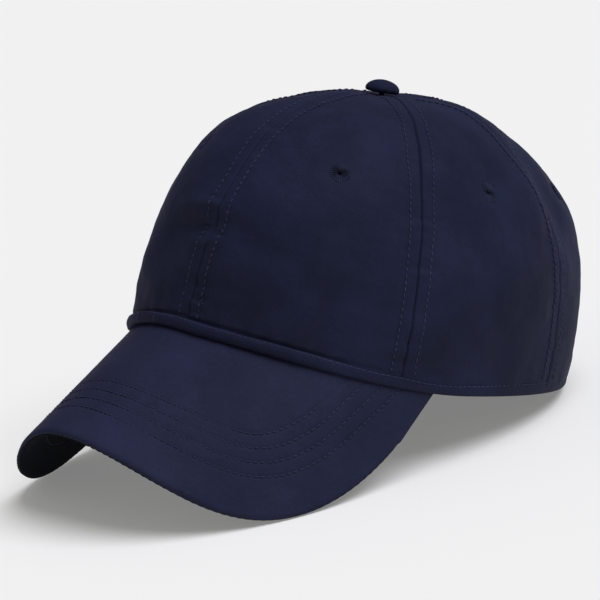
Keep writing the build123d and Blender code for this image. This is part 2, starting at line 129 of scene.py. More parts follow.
def noise(p, scale, seed=0):
    """Smooth value noise in -1..1 at 3-D points, the scale one number or one a side."""
    q = np.asarray(p, float) / np.asarray(scale, float)
    cell = np.floor(q).astype(np.int64)
    f = q - cell
    f = f * f * f * (f * (f * 6 - 15) + 10)
    total = 0.0
    for dx in (0, 1):
        for dy in (0, 1):
            for dz in (0, 1):
                h = (cell[..., 0] + dx) * 374761393 + (cell[..., 1] + dy) * 668265263
                h = h + (cell[..., 2] + dz) * 2147483647 + seed * 974634777
                h = (h ^ (h >> 13)) * 1274126177
                h = (h ^ (h >> 16)) & 0xFFFFFF
                w = (f[..., 0] if dx else 1 - f[..., 0]) * (f[..., 1] if dy else 1 - f[..., 1])
                total = total + w * (f[..., 2] if dz else 1 - f[..., 2]) * (h / 0x7FFFFF - 1)
    return total


# ---------------------------------------------------------------- the crown's surface
def radius_at(theta):
    t = np.radians(theta)
    length = np.where(np.cos(t) > 0, FRONT, REAR)
    across, along = np.abs(np.sin(t) / HALF_WIDTH), np.abs(np.cos(t) / length)
    return (across**OUTLINE_POWER + along**OUTLINE_POWER) ** (-1 / OUTLINE_POWER)


def hem_at(theta):
    ahead = np.clip(np.cos(np.radians(theta)), 0, 1)
    arch = HEM_ARCH * (radius_at(theta) * ahead / FRONT) ** 2
    t = np.asarray(theta, float)
    return arch - 1.4 * np.exp(-((t / 30.0) ** 2)) - 9.0 * smooth(-t, 4, 50) * (1 - smooth(-t, 52, 100))


def crown_base(theta, w):
    """Crown without its folds: azimuth in degrees; w is 0 at the hem, 1 at the wall's top, 2 at the apex."""
    theta, w = np.broadcast_arrays(np.asarray(theta, float), np.asarray(w, float))
    t = np.radians(theta)
    hem = hem_at(theta)
    phi = np.clip(w - 1, 0, 1) * np.pi / 2
    z_high = WALL_TOP + (HEIGHT - WALL_TOP) * np.sin(phi) ** (2 / RISE_POWER)
    z = np.where(w < 1, hem + (WALL_TOP - hem) * w, z_high)
    g = np.where(w < 1, 1.0, np.cos(phi) ** (2 / ROUND_POWER))
    g = g - HEM_CURL * np.clip((WALL_TOP - z) / WALL_TOP, 0, 2) ** 2
    part = np.clip(z / HEIGHT, 0, 1)
    g = g * (1 - FRONT_HOLLOW * np.clip(np.cos(t), 0, 1) * part * (1 - part))
    r = radius_at(theta) * g
    return np.stack([r * np.sin(t), APEX_SHIFT * z / HEIGHT - r * np.cos(t), z], -1)


def crown_normal(theta, w):
    """Outward normal of the crown without its folds."""
    w = np.clip(w, 0.0, 1.985)
    along = crown_base(theta + 0.4, w) - crown_base(theta - 0.4, w)
    rise = crown_base(theta, w + 0.004) - crown_base(theta, w - 0.004)
    return unit(np.cross(along, rise))


def seam_distance(theta, p):
    """Distance to the nearest seam's plane in mm, signed, with the seam's number."""
    best, which = np.full(np.shape(theta), 1e3), np.zeros(np.shape(theta), int)
    lean = p[..., 1] - APEX_SHIFT * p[..., 2] / HEIGHT
    for i, s in enumerate(SEAMS):
        a = np.radians(s)
        side = p[..., 0] * np.cos(a) + lean * np.sin(a)
        ahead = p[..., 0] * np.sin(a) - lean * np.cos(a)
        d = np.where(ahead > -1, side, np.sign(side) * np.hypot(side, ahead))
        take = np.abs(d) < np.abs(best)
        best, which = np.where(take, d, best), np.where(take, i, which)
    return best, which


# broad hollows (-) and swells (+): azimuth, height, half widths in mm along and up, turn, depth in mm
DENTS = (
    (-7, 51, 17, 4.5, 12, -2.3),
    (-15, 40, 13, 9, 20, -1.8),
    (-5, 60, 14, 4, 8, 0.9),
    (12, 50, 14, 6, -20, -1.2),
    (9, 36, 10, 7, 10, 0.9),
    (16, 66, 18, 8, -25, 0.9),
    (-47, 54, 17, 13, 0, 0.4),
    (-44, 84, 22, 12, 0, 0.8),
    (-36, 96, 16, 4, 35, -0.5),
    (-30, 30, 16, 10, 15, 1.2),
    (-56, 26, 26, 30, 0, -1.5),
    (136, 86, 24, 14, 0, -1.8),
    (40, 97, 22, 8, 20, 1.0),
    (34, 46, 26, 20, 0, 0.9),
    (57, 92, 14, 6, -30, -0.9),
    (78, 95, 16, 8, 20, 1.0),
    (84, 62, 18, 14, 10, -0.8),
    (100, 88, 10, 7, 0, -1.0),
    (104, 50, 20, 22, 0, 0.9),
    (122, 84, 12, 10, 30, 1.0),
    (140, 70, 16, 22, 0, -1.3),
    (163, 72, 20, 12, 0, 1.2),
    (-70, 50, 20, 22, 10, -1.0),
    (-100, 66, 22, 16, 0, 1.0),
    (-120, 40, 18, 16, 20, -1.2),
    (-150, 74, 20, 12, 0, -1.1),
    (-166, 58, 14, 20, 0, 1.2),
)


def crown_folds(theta, w, p):
    """How far the cloth stands out of the plain surface, in mm."""
    z = p[..., 2]
    d, which = seam_distance(theta, p)
    s = np.abs(d)
    apex = np.hypot(p[..., 0], p[..., 1] - APEX_SHIFT)
    out = 0.5 * (1 - np.exp(-((s / 16.0) ** 2)))
    allowance = 0.42 * (1 - smooth(s, 4.9, 6.4))
    groove = -0.8 * np.exp(-((s / 0.5) ** 2))
    dip = -0.26 * np.exp(-(((s - SEAM_STITCH) / 0.7) ** 2))
    out = out + (allowance + groove + dip) * smooth(apex, 5, 14)
    across = np.stack([z, s / 5.0, which * 37.0], -1)
    pucker = noise(across, (4.2, 4.0, 1.0), 3) + 0.6 * noise(across, (2.1, 3.0, 1.0), 4)
    near = np.exp(-np.maximum(s - 2.0, 0) / 9.0) * smooth(apex, 8, 22)
    strength = 0.34 + 0.75 * (which == 0) * (1 - smooth(z, 12, 48))
    out = out + pucker * near * strength
    # small tucks across the front seam, low down and at mid height
    pleat = np.exp(-((((z + 1.4 * np.sign(d)) % 5.4 - 2.7) / 0.8) ** 2)) * np.exp(-(((s - 4.6) / 3.4) ** 2))
    low_tucks = smooth(z, 11, 15) * (1 - smooth(z, 24, 34))
    high_tucks = 0.7 * smooth(z, 42, 48) * (1 - smooth(z, 60, 68))
    out = out - 0.95 * pleat * (which == 0) * (low_tucks + high_tucks)
    # the soft top leans to the wearer's left rear
    out = out + 2.5 * np.cos(np.radians(theta - 135)) * np.exp(-(((apex - 34) / 16) ** 2))
    for azimuth, height, wide, high, turn, depth in DENTS:
        run = np.radians(theta - azimuth) * MEAN_RADIUS
        up = z - height
        c, n = np.cos(np.radians(turn)), np.sin(np.radians(turn))
        u, v = run * c + up * n, -run * n + up * c
        out = out + DENT_GAIN * depth * np.exp(-((u / wide) ** 2) - (v / high) ** 2) * smooth(apex, 14, 36)
    out = out + 0.9 * noise(p, (34, 34, 26), 7) + 0.42 * noise(p, (13, 13, 9), 8)
    out = out + 0.10 * noise(p, (4.2, 4.2, 3.0), 9)
    for azimuth in EYELETS:
        run = np.radians(theta - azimuth) * np.maximum(apex, 20)
        out = out - 0.8 * np.exp(-(run**2 + (z - EYELET_HEIGHT) ** 2) / 60.0)
    out = out - 1.2 * np.exp(-((apex / 11.0) ** 2))
    hem = hem_at(theta)
    out = out * (0.35 + 0.65 * smooth(z - hem, 0, 14))
    out = out - 0.7 * np.exp(-(((z - hem - 5.4) / 1.1) ** 2)) * (1 - smooth(np.abs(theta), 30, 75))
    gather = noise(np.stack([theta * 1.5, z * 0.35, 0 * z], -1), (4.5, 6, 1), 12)
    out = out + 0.45 * gather * np.exp(-np.maximum(z - hem - 4, 0) / 7.0) * smooth(z - hem, 1.5, 5)
    return out


def crown(theta, w, depth=0.0):
    """The folded crown surface, sunk by a depth, in the cap frame."""
    p = crown_base(theta, w)
    n = crown_normal(theta, w)
    return p + n * (crown_folds(theta, w, p) - depth)[..., None]


def w_for_height(theta, z):
    """The w at which the crown reaches a height."""
    hem = hem_at(theta)
    low = (z - hem) / (WALL_TOP - hem)
    part = np.clip((z - WALL_TOP) / (HEIGHT - WALL_TOP), 0, 1)
    high = 1 + np.arcsin(part ** (RISE_POWER / 2)) / (np.pi / 2)
    return np.where(z < WALL_TOP, low, high)


# ---------------------------------------------------------------- the visor's surface
def visor_reach(q):
    return VISOR_LENGTH * (1 + 0.72 * q * q) * np.sqrt(np.clip(1 - np.abs(q) ** 3.4, 0, 1))


def visor(q, reach, depth=0.0):
    """Point of the visor: share q of its half width, distance from its root, height over its middle."""
    q, reach = np.broadcast_arrays(np.asarray(q, float), np.asarray(reach, float))

    def middle(q, reach):
        theta = VISOR_END * q
        hem = hem_at(theta)
        root = crown_base(theta, 0.0)
        inward = -unit(root * np.array([1.0, 1.0, 0.0])) * 2.2
        pitch = np.radians(VISOR_PITCH + SIDE_PITCH * q * q)
        fan = -0.33 * q * (1 - 1.25 * q * q)
        ahead = np.cos(pitch) * reach
        x = root[..., 0] + inward[..., 0] + ahead * np.sin(fan)
        y = root[..., 1] + inward[..., 1] - ahead * np.cos(fan)
        z = hem - 0.6 - np.sin(pitch) * reach
        twist = np.radians(VISOR_TWIST) * np.clip((8 - z) / 55, 0, 1)
        c, s = np.cos(twist), np.sin(twist)
        return np.stack([x * c - (z - 8) * s, y, 8 + x * s + (z - 8) * c], -1)

    p = middle(q, reach)
    along = middle(q + 0.004, reach) - middle(q - 0.004, reach)
    out = middle(q, reach + 0.4) - middle(q, reach - 0.4)
    return p + unit(np.cross(out, along)) * np.asarray(depth)[..., None]


# ---------------------------------------------------------------- mesh helpers
def make_object(name, verts, faces, material):
    mesh = bpy.data.meshes.new(name)
    mesh.from_pydata([tuple(v) for v in verts], [], faces)
    mesh.validate()
    mesh.polygons.foreach_set("use_smooth", [True] * len(mesh.polygons))
    mesh.materials.append(material)
    obj = bpy.data.objects.new(name, mesh)
    bpy.context.scene.collection.objects.link(obj)
    return obj


def grid_faces(rows, cols, closed=False):
    faces = []
    for i in range(rows - 1):
        for j in range(cols if closed else cols - 1):
            a, b = i * cols + j, i * cols + (j + 1) % cols
            c, d = a + cols, b + cols
            faces.append((a, b, d, c))
    return faces


def cut_cloth(obj, width, length, area=None):
    """Works out, and leaves unused, the area of a sewn piece of cloth from the size it was cut to, in mm, not
    read from the mesh.
    """
    area = (area or width * length) * MM * MM


def both_faces(faces, count):
    """The outer faces, the same faces of a second layer, and the rim that joins them."""
    edges = {(a, b): True for f in faces for a, b in zip(f, np.roll(f, -1))}
    rim = [(a, b) for (a, b) in edges if (b, a) not in edges]
    sides = np.array([(b, a, a + count, b + count) for a, b in rim])
    return np.concatenate([faces, faces[:, ::-1] + count, sides])


def used_only(verts, faces):
    """Drops the vertices that no face uses."""
    faces = np.asarray(faces)
    keep, index = np.unique(faces, return_inverse=True)
    return np.asarray(verts)[keep], index.reshape(faces.shape).tolist()


def sweep(name, path, frames, profile, material, closed=False):
    """A profile (u on the first frame axis, v on the second) carried along a path, in cap millimetres."""
    n = len(path)
    a, b = frames
    pr = np.asarray(profile, float)
    if pr.ndim == 2:
        pr = np.broadcast_to(pr, (n, len(pr), 2))
    m = pr.shape[1]
    verts = path[:, None] + a[:, None] * pr[..., :1] + b[:, None] * pr[..., 1:2]
    faces = []
    for i in range(n if closed else n - 1):
        k = (i + 1) % n
        for j in range(m):
            l = (j + 1) % m
            faces.append((i * m + j, i * m + l, k * m + l, k * m + j))
    if not closed:
        faces.append(tuple(range(m))[::-1])
        faces.append(tuple((n - 1) * m + j for j in range(m)))
    obj = make_object(name, to_world(verts).reshape(-1, 3), faces, material)
    outward(obj)
    return obj


def outward(obj):
    """Turns every face outwards."""
    bm = bmesh.new()
    bm.from_mesh(obj.data)
    bmesh.ops.recalc_face_normals(bm, faces=bm.faces)
    bm.to_mesh(obj.data)
    bm.free()


def stitch_row(points, normals, pitch, length, thick, sink=0.08, seed=1):
    """Small rounded threads lying along a line; returns their vertices and faces in cap millimetres."""
    rng = np.random.default_rng(seed)
    seg = np.linalg.norm(np.diff(points, axis=0), axis=1)
    run = np.concatenate([[0], np.cumsum(seg)])
    count = int(run[-1] // pitch)
    verts, faces = [], []
    rings = 6
    for i in range(count):
        mid = (i + 0.5) * pitch + rng.normal(0, 0.12)
        long = length * (1 + rng.normal(0, 0.06))
        at = np.clip(mid + np.linspace(-0.5, 0.5, rings) * long, 0, run[-1])
        c = np.stack([np.interp(at, run, points[:, k]) for k in range(3)], -1)
        n = unit(np.stack([np.interp(at, run, normals[:, k]) for k in range(3)], -1))
        t = unit(np.gradient(c, axis=0) + 1e-9)
        b = unit(np.cross(t, n))
        bow = np.sqrt(np.clip(1 - np.linspace(-1, 1, rings) ** 2, 0, 1))
        lift = thick * (0.30 * bow - 0.30) + thick * 0.5 - sink
        size = thick * 0.5 * (0.45 + 0.55 * bow)
        base = len(verts)
        for k in range(rings):
            for s in range(6):
                ang = s * np.pi / 3
                verts.append(c[k] + n[k] * (lift[k] + size[k] * np.sin(ang)) + b[k] * size[k] * np.cos(ang))
        for k in range(rings - 1):
            for s in range(6):
                u = (s + 1) % 6
                faces.append((base + k * 6 + s, base + k * 6 + u, base + k * 6 + 6 + u, base + k * 6 + 6 + s))
        faces.append(tuple(base + s for s in range(6))[::-1])
        faces.append(tuple(base + (rings - 1) * 6 + s for s in range(6)))
    return verts, faces


def threads(name, rows, material, body="crown"):
    """One object of all the stitches of several rows."""
    verts, faces = [], []
    for v, f in rows:
        base = len(verts)
        verts.extend(v)
        faces.extend([tuple(i + base for i in face) for face in f])
    obj = make_object(name, to_world(np.array(verts)), faces, material)
    outward(obj)
    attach(obj, body)
    return obj


# ---------------------------------------------------------------- materials
def nodes_of(name, **inputs):
    mat = bpy.data.materials.new(name)
    mat.use_nodes = True
    tree = mat.node_tree
    bsdf = tree.nodes["Principled BSDF"]
    for key, value in inputs.items():
        bsdf.inputs[key.replace("_", " ")].default_value = value
    return mat, tree, bsdf


def add_node(tree, kind, **props):
    node = tree.nodes.new(kind)
    for key, value in props.items():
        if key in node.inputs:
            node.inputs[key].default_value = value
        else:
            setattr(node, key, value)
    return node


def cloth(name, colour, second, thread_scale, crinkle, roughness, sheen, bump=0.5):
    """Woven cloth: plain weave, fine crinkle and slow colour drift, all in object space."""
    mat, tree, bsdf = nodes_of(name, Roughness=roughness, Specular_IOR_Level=0.03)
    bsdf.inputs["Sheen Weight"].default_value = sheen
    bsdf.inputs["Sheen Roughness"].default_value = 0.4
    bsdf.inputs["Sheen Tint"].default_value = (0.30, 0.36, 1.0, 1.0)
    link = tree.links.new
    coord = add_node(tree, "ShaderNodeTexCoord")
    slow = add_node(tree, "ShaderNodeTexNoise", Scale=28.0, Detail=5.0, Roughness=0.6)
    link(coord.outputs["Object"], slow.inputs["Vector"])
    fleck = add_node(tree, "ShaderNodeTexNoise", Scale=1100.0, Detail=2.0, Roughness=0.7)
    link(coord.outputs["Object"], fleck.inputs["Vector"])
    sum_ = add_node(tree, "ShaderNodeMath", operation="MULTIPLY_ADD")
    sum_.inputs[1].default_value = 0.45
    link(fleck.outputs["Fac"], sum_.inputs[0])
    link(slow.outputs["Fac"], sum_.inputs[2])
    ramp = add_node(tree, "ShaderNodeValToRGB")
    ramp.color_ramp.elements[0].position = 0.45
    ramp.color_ramp.elements[0].color = (*colour, 1)
    ramp.color_ramp.elements[1].position = 0.95
    ramp.color_ramp.elements[1].color = (*second, 1)
    link(sum_.outputs[0], ramp.inputs["Fac"])
    link(ramp.outputs["Color"], bsdf.inputs["Base Color"])
    heights = []
    for axis in ("X", "Z"):
        wave = add_node(tree, "ShaderNodeTexWave", bands_direction=axis, wave_profile="SIN")
        wave.inputs["Scale"].default_value = thread_scale
        wave.inputs["Distortion"].default_value = 1.2
        wave.inputs["Detail"].default_value = 2.0
        wave.inputs["Detail Scale"].default_value = 6.0
        link(coord.outputs["Object"], wave.inputs["Vector"])
        heights.append(wave)
    both = add_node(tree, "ShaderNodeMath", operation="ADD")
    link(heights[0].outputs["Fac"], both.inputs[0])
    link(heights[1].outputs["Fac"], both.inputs[1])
    weave = add_node(tree, "ShaderNodeBump", Strength=0.10 * bump, Distance=0.0002)
    link(both.outputs[0], weave.inputs["Height"])
    crumple = add_node(tree, "ShaderNodeTexNoise", Scale=crinkle, Detail=4.0, Roughness=0.62)
    crumple.inputs["Distortion"].default_value = 0.6
    link(coord.outputs["Object"], crumple.inputs["Vector"])
    fold = add_node(tree, "ShaderNodeBump", Strength=0.55 * bump, Distance=0.0008)
    link(crumple.outputs["Fac"], fold.inputs["Height"])
    link(weave.outputs["Normal"], fold.inputs["Normal"])
    link(fold.outputs["Normal"], bsdf.inputs["Normal"])
    rough = add_node(tree, "ShaderNodeMapRange")
    rough.inputs["To Min"].default_value = roughness - 0.07
    rough.inputs["To Max"].default_value = roughness + 0.09
    link(slow.outputs["Fac"], rough.inputs["Value"])
    link(rough.outputs["Result"], bsdf.inputs["Roughness"])
    return mat


def metal(name, colour, roughness):
    """Satin metal with fine brushing, its colour and roughness varying along the brushing streaks."""
    mat, tree, bsdf = nodes_of(name, Metallic=1.0, Roughness=roughness)
    link = tree.links.new
    coord = add_node(tree, "ShaderNodeTexCoord")
    stretch = add_node(tree, "ShaderNodeMapping")
    stretch.inputs["Scale"].default_value = (400, 400, 6000)
    link(coord.outputs["Object"], stretch.inputs["Vector"])
    brush = add_node(tree, "ShaderNodeTexNoise", Scale=1.0, Detail=3.0)
    link(stretch.outputs["Vector"], brush.inputs["Vector"])
    ramp = add_node(tree, "ShaderNodeValToRGB")
    ramp.color_ramp.elements[0].position = 0.3
    ramp.color_ramp.elements[0].color = (*[c * 0.6 for c in colour], 1)
    ramp.color_ramp.elements[1].position = 0.7
    ramp.color_ramp.elements[1].color = (*colour, 1)
    link(brush.outputs["Fac"], ramp.inputs["Fac"])
    link(ramp.outputs["Color"], bsdf.inputs["Base Color"])
    rough = add_node(tree, "ShaderNodeMapRange")
    rough.inputs["To Min"].default_value = roughness - 0.08
    rough.inputs["To Max"].default_value = roughness + 0.12
    link(brush.outputs["Fac"], rough.inputs["Value"])
    link(rough.outputs["Result"], bsdf.inputs["Roughness"])
    bump = add_node(tree, "ShaderNodeBump", Strength=0.15, Distance=0.0001)
    link(brush.outputs["Fac"], bump.inputs["Height"])
    link(bump.outputs["Normal"], bsdf.inputs["Normal"])
    return mat


NAVY = (0.0100, 0.0118, 0.0225)
NAVY_LIGHT = (0.0172, 0.0200, 0.0450)
shell = cloth("navy_nylon", NAVY, NAVY_LIGHT, 900.0, 420.0, 0.60, 0.01)
BRIM, BRIM_LIGHT = (0.0125, 0.0140, 0.0270), (0.0210, 0.0235, 0.0490)
# the visor's underside is the same navy nylon, painted about a quarter as bright as the top: painted shade
# for the shadow under the visor and at its turned edge
UNDER_SHADED, UNDER_SHADED_LIGHT = (0.003, 0.0035, 0.007), (0.005, 0.006, 0.012)
RING, RING_LIGHT = (0.018, 0.021, 0.040), (0.036, 0.041, 0.074)
brim_cloth = cloth("navy_nylon_visor", BRIM, BRIM_LIGHT, 900.0, 460.0, 0.60, 0.01, 0.6)
shaded_under_cloth = cloth("navy_nylon_under_painted_shade", UNDER_SHADED, UNDER_SHADED_LIGHT, 900.0, 460.0, 0.7, 0.0, 0.6)
eyelet_thread = cloth("eyelet_thread", RING, RING_LIGHT, 2500.0, 2500.0, 0.55, 0.0, 1.0)
lining = cloth("navy_twill", (0.010, 0.011, 0.020), (0.018, 0.020, 0.036), 700.0, 300.0, 0.75, 0.15, 0.8)
tape_cloth = cloth("navy_tape", (0.009, 0.010, 0.018), (0.014, 0.016, 0.028), 1100.0, 500.0, 0.65, 0.1, 0.8)
buckram = cloth("buckram", (0.30, 0.29, 0.26), (0.42, 0.41, 0.37), 520.0, 300.0, 0.85, 0.0, 1.2)
thread = cloth("navy_thread", (0.024, 0.027, 0.050), (0.040, 0.044, 0.078), 2500.0, 2500.0, 0.5, 0.05, 1.0)
label_cloth = cloth("label_weave", (0.62, 0.62, 0.60), (0.72, 0.72, 0.70), 1500.0, 600.0, 0.7, 0.1, 0.6)
buckle_metal = metal("antique_metal", (0.34, 0.32, 0.28), 0.34)
steel = metal("plated_steel", (0.55, 0.55, 0.55), 0.3)
dark_metal = metal("dark_enamel", (0.012, 0.014, 0.026), 0.5)


# ---------------------------------------------------------------- crown panels
def in_opening(p, grow):
    """Whether points lie in the rear opening, grown by a margin."""
    across, up = p[..., 0] / (OPEN_WIDE + grow), np.clip(p[..., 2], 0, 999) / (OPEN_HIGH + grow)
    return (p[..., 1] > 0) & (across**2 + up**2 < 1)


def panel(name, start, end, node):
    """A crown panel with real thickness, its side edges tucked into the seams."""
    cols, wall_rows, dome_rows = 116, 56, 160
    # columns crowd towards the seams, where the tucks are
    mid, half = (start + end) / 2, (end - start) / 2
    u = np.linspace(-1, 1, cols)
    across = mid + half * (0.4 * u + 0.6 * np.sin(u * np.pi / 2))
    wall_w, dome_w = np.linspace(0.06, 1, wall_rows, endpoint=False), 1 + np.linspace(0, 0.991, dome_rows)
    w = np.concatenate([wall_w, dome_w])
    theta, ww = np.meshgrid(across, w)
    outer = crown(theta, ww)
    inner = crown(theta, ww, CLOTH_THICK)
    rows = len(w)
    faces = np.array(grid_faces(rows, cols))
    flat = crown_base(theta, ww).reshape(-1, 3)
    centres = flat[faces].mean(1)
    keep = ~in_opening(centres, 2.5)
    for azimuth in EYELETS:
        hole = crown_base(np.array(azimuth), w_for_height(np.array(azimuth), np.array(EYELET_HEIGHT)))
        keep &= np.linalg.norm(centres - hole, axis=1) > 1.9
    faces = faces[keep]
    verts = np.concatenate([outer.reshape(-1, 3), inner.reshape(-1, 3)])
    verts, all_faces = used_only(verts, both_faces(faces, rows * cols))
    obj = make_object(name, to_world(verts), all_faces, shell)
    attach(obj, "crown")
    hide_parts(node)
    # a gore: a straight wall, then a quarter round that narrows to a point as a sine does
    radius = float(radius_at(np.array(mid)))
    width = np.radians(end - start) * radius
    wall = WALL_TOP - float(hem_at(np.array(mid)))
    dome = np.pi / 2 * np.sqrt((radius**2 + (HEIGHT - WALL_TOP) ** 2) / 2)
    opening = np.pi / 4 * OPEN_WIDE * OPEN_HIGH if abs(mid) > REAR_SEAM else 0.0
    cut_cloth(obj, width, wall + dome, width * (wall + 2 / np.pi * dome) - opening)


GAP = 0.015
panel("panel_front_left", GAP, FRONT_SEAM - GAP, "front_left_panel")
panel("panel_side_left", FRONT_SEAM + GAP, REAR_SEAM - GAP, "side_left_panel")
panel("panel_rear_left", REAR_SEAM + GAP, 180 - GAP, "rear_left_panel")
panel("panel_front_right", -FRONT_SEAM + GAP, -GAP, "front_right_panel")
panel("panel_side_right", -REAR_SEAM + GAP, -FRONT_SEAM - GAP, "side_right_panel")
panel("panel_rear_right", -180 + GAP, -REAR_SEAM - GAP, "rear_right_panel")


# ---------------------------------------------------------------- seam topstitching
def seam_row(seam, offset, seed):
    """One row of topstitching beside a seam."""
    w = np.concatenate([np.linspace(0.36, 1, 40, endpoint=False), np.linspace(1, 1.93, 420)])
    theta = np.full_like(w, seam)
    p = crown_base(theta, w)
    reach = np.hypot(p[:, 0], p[:, 1] - APEX_SHIFT * p[:, 2] / HEIGHT)
    theta = theta + np.degrees(np.arcsin(np.clip(offset / np.maximum(reach, 7.0), -1, 1)))
    wobble = 0.12 * noise(np.stack([w * 40, 0 * w, 0 * w + seed], -1), 1.0, seed)
    theta = theta + wobble * 0.3
    pts, nrm = crown(theta, w), crown_normal(theta, w)
    keep = reach > 9.5
    pts, nrm = pts[keep], nrm[keep]
    if abs(abs(seam) - 180) < 1:
        out = ~in_opening(pts, 7.5)
        pts, nrm = pts[out], nrm[out]
    return stitch_row(pts, nrm, 2.75, 1.95, 0.72, sink=0.13, seed=seed)


rows = []
for i, seam in enumerate(SEAMS):
    for j, offset in enumerate((-SEAM_STITCH, SEAM_STITCH)):
        rows.append(seam_row(seam, offset, seed=11 + 2 * i + j))
crown_stitches = threads("crown_topstitching", rows, thread)


# ---------------------------------------------------------------- hem roll
def hem_roll():
    """The puffed edge that runs round the bottom of the crown, above the visor, to the rear opening."""
    limit = 157.2
    theta = np.linspace(-limit, limit, 900)
    tall = 5.0 - 0.6 * smooth(np.abs(theta), 40, 75) + 0.8 * smooth(np.abs(theta), 80, 110)
    tall = tall + 0.25 * noise(np.stack([theta, 0 * theta, 0 * theta], -1), 9.0, 31)
    base = crown_base(theta, 0.0)
    normal = crown_normal(theta, np.zeros_like(theta))
    normal = unit(normal * np.array([1, 1, 0.0]))
    up = np.broadcast_to(np.array([0, 0, 1.0]), normal.shape)
    puff = 2.0 + 0.22 * noise(np.stack([theta, 0 * theta, 0 * theta], -1), 3.4, 32)
    puff = puff + 0.15 * noise(np.stack([theta, 0 * theta, 0 * theta], -1), 1.6, 33)
    puff = puff * (1 - 0.66 * smooth(np.abs(theta), 25, 70))
    shape = []
    for k in range(20):
        a = k / 20 * 2 * np.pi
        x, y = np.cos(a), np.sin(a)
        out = np.where(x > 0, puff * abs(x) ** 0.75, -2.2 * abs(x) ** 0.6 * np.ones_like(puff))
        rise = 0.5 + 0.5 * np.sign(y) * abs(y) ** 0.85
        shape.append(np.stack([out, tall * rise], -1))
    profile = np.stack(shape, 1)
    obj = sweep("hem_roll", base, (normal, up), profile, shell)
    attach(obj, "crown")
    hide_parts("hem_binding")
    line = base + up * (tall - 0.5)[:, None] + normal * (puff * 0.62)[:, None]
    row = stitch_row(line, unit(normal + 0.5 * up), 2.8, 2.1, 0.55, seed=51)
    threads("hem_topstitching", [row], thread)


hem_roll()


# ---------------------------------------------------------------- rear arch binding
def arch_points(grow, steps=260):
    """The rear opening's outline grown outwards, as azimuths and w on the crown."""
    t = np.linspace(0, np.pi, steps)
    x = (OPEN_WIDE + grow) * np.cos(t)
    z = np.maximum((OPEN_HIGH + grow) * np.sin(t), 0.0)
    theta = np.empty(steps)
    for i in range(steps):
        trial = np.linspace(90, 270, 1441)
        w = w_for_height(trial, np.full_like(trial, z[i]))
        p = crown_base(trial, w)
        theta[i] = trial[np.argmin(np.abs(p[:, 0] - x[i]))]
    return theta, w_for_height(theta, z)


arch_theta, arch_w = arch_points(1.6)
wide_theta, wide_w = arch_points(6.0)


def arch_binding():
    """Folded cloth that edges the rear opening."""
    inner_edge, normal = crown_base(arch_theta, arch_w), crown_normal(arch_theta, arch_w)
    inner_edge = inner_edge + normal * crown_folds(arch_theta, arch_w, inner_edge)[:, None] * 0.3
    outer_edge = crown_base(wide_theta, wide_w)
    away = unit(outer_edge - inner_edge)
    shape = []
    for k in range(18):
        a = k / 18 * 2 * np.pi
        x, y = np.cos(a), np.sin(a)
        out = 2.0 + 3.4 * np.sign(x) * abs(x) ** 0.7 - 1.2
        shape.append((out, -0.45 + 1.25 * np.sign(y) * abs(y) ** 0.8))
    obj = sweep("rear_arch_roll", inner_edge, (away, normal), shape, shell)
    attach(obj, "crown")
    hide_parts("rear_arch_binding")
    rows = []
    for offset, seed in ((0.9, 61), (3.6, 62)):
        line = inner_edge + away * offset + normal * 0.78
        rows.append(stitch_row(line, normal, 2.7, 2.0, 0.5, seed=seed))
    threads("rear_arch_topstitching", rows, thread)


arch_binding()


# ---------------------------------------------------------------- linings
def lining_sheet(
    name, thetas, w_low, w_high, depth, thick, material, node, cut=None, puff=0.0, cut_size=None
):
    """A sheet that follows the inside of the crown between two depths."""
    rows_, cols_ = 120, len(thetas)
    s = np.linspace(0, 1, rows_)
    low = np.broadcast_to(w_low, thetas.shape)
    high = np.broadcast_to(w_high, thetas.shape)
    ww = low + (high - low) * s[:, None]
    theta = np.broadcast_to(thetas, ww.shape)
    swell = puff * np.sin(np.pi * s)[:, None] ** 0.5
    outer = crown(theta, ww, depth)
    inner = crown(theta, ww, depth + thick + swell)
    faces = np.array(grid_faces(rows_, cols_))
    if cut is not None:
        centres = crown_base(theta, ww).reshape(-1, 3)[faces].mean(1)
        faces = faces[~cut(centres)]
    verts = np.concatenate([outer.reshape(-1, 3), inner.reshape(-1, 3)])
    verts, all_faces = used_only(verts, both_faces(faces, rows_ * cols_))
    obj = make_object(name, to_world(verts), all_faces, material)
    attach(obj, "crown")
    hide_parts(node)
    if cut_size:
        cut_cloth(obj, *cut_size)
    return obj


def height_w(thetas, over_hem):
    return w_for_height(thetas, hem_at(thetas) + over_hem)


def near_eyelet(centres):
    out = np.zeros(len(centres), bool)
    for azimuth in EYELETS:
        a = np.array(azimuth)
        hole = crown_base(a, w_for_height(a, np.array(EYELET_HEIGHT)))
        out |= np.linalg.norm(centres - hole, axis=1) < 6.0
    return out


left = np.linspace(0.8, FRONT_SEAM - 0.8, 60)
for part, azimuths in (("left", left), ("right", -left[::-1])):
    lining_sheet(
        f"stiffener_{part}",
        azimuths,
        height_w(azimuths, 1.5),
        1.72,
        1.6,
        0.45,
        buckram,
        f"front_{part}_stiffener",
        near_eyelet,
        cut_size=(98.0, 125.0, 9800.0),
    )

band = np.linspace(-155.0, 155.0, 520)
lining_sheet(
    "sweatband_piece",
    band,
    height_w(band, 0.9),
    height_w(band, 34.0),
    4.6,
    1.0,
    lining,
    "sweatband",
    puff=0.35,
    cut_size=(555.0 * 310 / 360, 34.0),
)
brow = np.linspace(-68.0, 68.0, 160)
low, high = height_w(brow, 2.0), height_w(brow, 30.0)
pad = lining_sheet(
    "forehead_padding", brow, low, high, 3.3, 0.4, lining, "forehead_pad", puff=0.7
)
tag = np.linspace(106.0, 116.0, 24)
low, high = height_w(tag, 9.0), height_w(tag, 29.0)
lining_sheet(
    "blank_label", tag, low, high, 6.0, 0.3, label_cloth, "care_label", cut_size=(16.0, 20.0)
)


